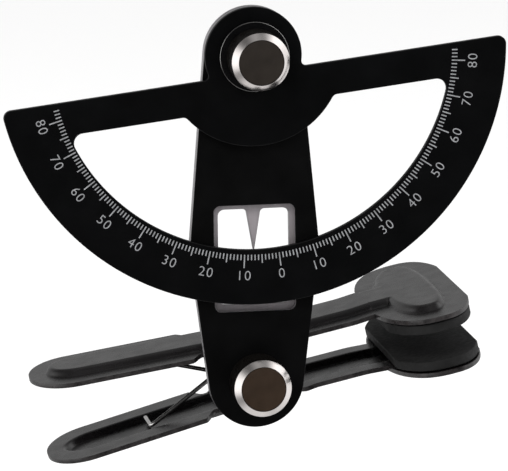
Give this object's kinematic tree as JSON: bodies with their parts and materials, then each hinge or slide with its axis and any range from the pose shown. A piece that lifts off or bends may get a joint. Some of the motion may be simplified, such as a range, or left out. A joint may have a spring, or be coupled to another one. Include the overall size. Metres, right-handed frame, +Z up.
{
  "type": "clip-on goniometer",
  "caption": "Clip-on angle gauge: sprung rubber-lined jaws hold a swinging arm with a pointer window and a half-round degree dial locked by a knurled knob.",
  "frame": {"origin": "middle of the lower jaw's gripping face", "axes": "+Z up along the arm from the clip to the dial's pivot, -Y the way the dial faces, +X from the handles towards the jaws"},
  "size_m": [0.1017, 0.0564, 0.0939],
  "materials": {
    "plate_black": "satin black anodised, pale printed scale",
    "pointer_grey": "fine brushed grey",
    "knob_metal": "black anodised and knurled, with a bright turned chamfer",
    "knob_cap": "dark brown-grey satin",
    "clip_steel": "satin dark grey",
    "grip_rubber": "matte black",
    "bright_steel": "bright turned",
    "spring_wire": "bright drawn wire",
    "friction_nylon": "matte"
  },
  "bodies": {
    "clip_base": {"lower_leaf": "clip_steel", "lower_grip_pad": "grip_rubber", "clip_pin": "bright_steel", "spacer_sleeve": "bright_steel", "torsion_spring": "spring_wire", "lower_friction_disc": "friction_nylon"},
    "upper_jaw": {"upper_leaf": "clip_steel", "upper_grip_pad": "grip_rubber"},
    "arm": {"pointer_plate": "pointer_grey", "arm_cover_plate": "plate_black", "arm_bush": "bright_steel", "pivot_stud": "bright_steel", "rear_washer": "bright_steel", "upper_friction_disc": "friction_nylon", "upper_washer": "knob_metal"},
    "protractor": {"protractor_plate": "plate_black", "protractor_bush": "bright_steel"},
    "upper_knob": {"upper_knob_body": "knob_metal", "upper_knob_cap": "knob_cap"},
    "lower_knob": {"lower_knob_body": "knob_metal", "lower_knob_cap": "knob_cap"}
  },
  "joints": [
    {"name": "clip_hinge", "type": "hinge", "parent": "clip_base", "child": "upper_jaw", "pos_m": [-0.03628, 0, -0.00493], "axis": [0, -1, 0], "range_deg": [-7, 12], "stiffness_Nm_per_rad": 0.35, "deforming": ["torsion_spring"]},
    {"name": "arm_swing", "type": "hinge", "parent": "clip_base", "child": "arm", "pos_m": [-0.03628, 0, -0.00493], "axis": [0, -1, 0], "range_deg": [-3, 210]},
    {"name": "protractor_turn", "type": "hinge", "parent": "arm", "child": "protractor", "pos_m": [-0.03628, 0, 0.06147], "axis": [0, -1, 0], "continuous": true},
    {"name": "upper_knob_turn", "type": "hinge", "parent": "arm", "child": "upper_knob", "pos_m": [-0.03628, 0, 0.06147], "axis": [0, -1, 0], "continuous": true},
    {"name": "lower_knob_turn", "type": "hinge", "parent": "clip_base", "child": "lower_knob", "pos_m": [-0.03628, 0, -0.00493], "axis": [0, -1, 0], "continuous": true}
  ]
}
